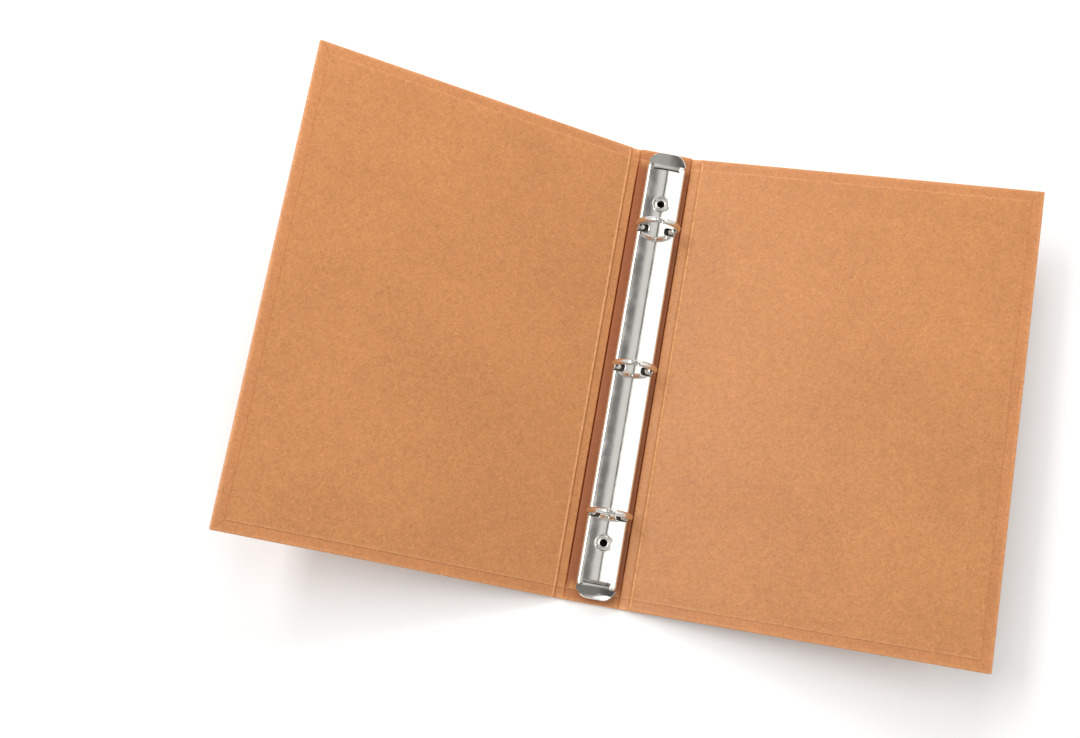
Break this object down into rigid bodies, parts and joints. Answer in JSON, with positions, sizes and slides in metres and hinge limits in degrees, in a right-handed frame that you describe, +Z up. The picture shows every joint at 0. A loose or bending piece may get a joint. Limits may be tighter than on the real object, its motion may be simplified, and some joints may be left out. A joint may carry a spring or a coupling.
{
  "type": "ring binder",
  "caption": "Small open ring binder: two hinged kraft-paper covers and a spine that carries a polished ring mechanism with toggle blades and end levers.",
  "frame": {"origin": "middle of the spine's flat back face, where the binder rests", "axes": "+Y along the spine towards the upper end, +X across towards the back cover's free edge, +Z up out of the open binder"},
  "size_m": [0.3411, 0.2226, 0.0644],
  "materials": {
    "greyboard": "raw grey-brown bookbinding board, matt",
    "kraft_wrap": "matt tan kraft paper with fine fibres",
    "kraft_liner": "matt tan kraft paper with fine fibres",
    "nickel_plate": "polished nickel plating on sheet steel",
    "nickel_wire": "polished nickel plating on steel wire",
    "nickel_rivet": "polished nickel plating on a hollow steel rivet"
  },
  "bodies": {
    "spine": {"spine_board": "greyboard", "spine_wrap": "kraft_wrap", "spine_liner": "kraft_liner", "front_hinge_wrap": "kraft_wrap", "back_hinge_wrap": "kraft_wrap", "front_hinge_liner": "kraft_liner", "back_hinge_liner": "kraft_liner", "cover_plate": "nickel_plate", "upper_rivet": "nickel_rivet", "lower_rivet": "nickel_rivet"},
    "front_cover": {"front_cover_board": "greyboard", "front_cover_wrap": "kraft_wrap", "front_cover_liner": "kraft_liner"},
    "back_cover": {"back_cover_board": "greyboard", "back_cover_wrap": "kraft_wrap", "back_cover_liner": "kraft_liner"},
    "left_jaw": {"left_blade": "nickel_plate", "upper_ring_left": "nickel_wire", "middle_ring_left": "nickel_wire", "lower_ring_left": "nickel_wire"},
    "right_jaw": {"right_blade": "nickel_plate", "upper_ring_right": "nickel_wire", "middle_ring_right": "nickel_wire", "lower_ring_right": "nickel_wire"},
    "upper_lever": {"upper_lever": "nickel_plate"},
    "lower_lever": {"lower_lever": "nickel_plate"}
  },
  "joints": [
    {"name": "front_cover_opening", "type": "hinge", "parent": "spine", "child": "front_cover", "pos_m": [-0.017, 0, 0.00013], "axis": [0, -1, 0], "range_deg": [-67.5, 22.5], "deforming": ["front_hinge_wrap", "front_hinge_liner"]},
    {"name": "back_cover_opening", "type": "hinge", "parent": "spine", "child": "back_cover", "pos_m": [0.017, 0, 0.00013], "axis": [0, 1, 0], "range_deg": [-76, 14], "deforming": ["back_hinge_wrap", "back_hinge_liner"]},
    {"name": "left_jaw_opening", "type": "hinge", "parent": "spine", "child": "left_jaw", "pos_m": [-0.0077, 0, 0.0057], "axis": [0, -1, 0], "range_deg": [0, 14]},
    {"name": "right_jaw_opening", "type": "hinge", "parent": "spine", "child": "right_jaw", "pos_m": [0.0093, 0, 0.0057], "axis": [0, 1, 0], "range_deg": [0, 14]},
    {"name": "upper_lever_press", "type": "hinge", "parent": "spine", "child": "upper_lever", "pos_m": [0.0008, 0.0992, 0.00515], "axis": [-1, 0, 0], "range_deg": [0, 13.3]},
    {"name": "lower_lever_press", "type": "hinge", "parent": "spine", "child": "lower_lever", "pos_m": [0.0008, -0.0992, 0.00515], "axis": [1, 0, 0], "range_deg": [0, 13.3]}
  ],
  "couplings": [
    {"joint": "right_jaw_opening", "follows": "left_jaw_opening", "ratio": 1},
    {"joint": "upper_lever_press", "follows": "left_jaw_opening", "ratio": 0.95},
    {"joint": "lower_lever_press", "follows": "left_jaw_opening", "ratio": 0.95}
  ]
}
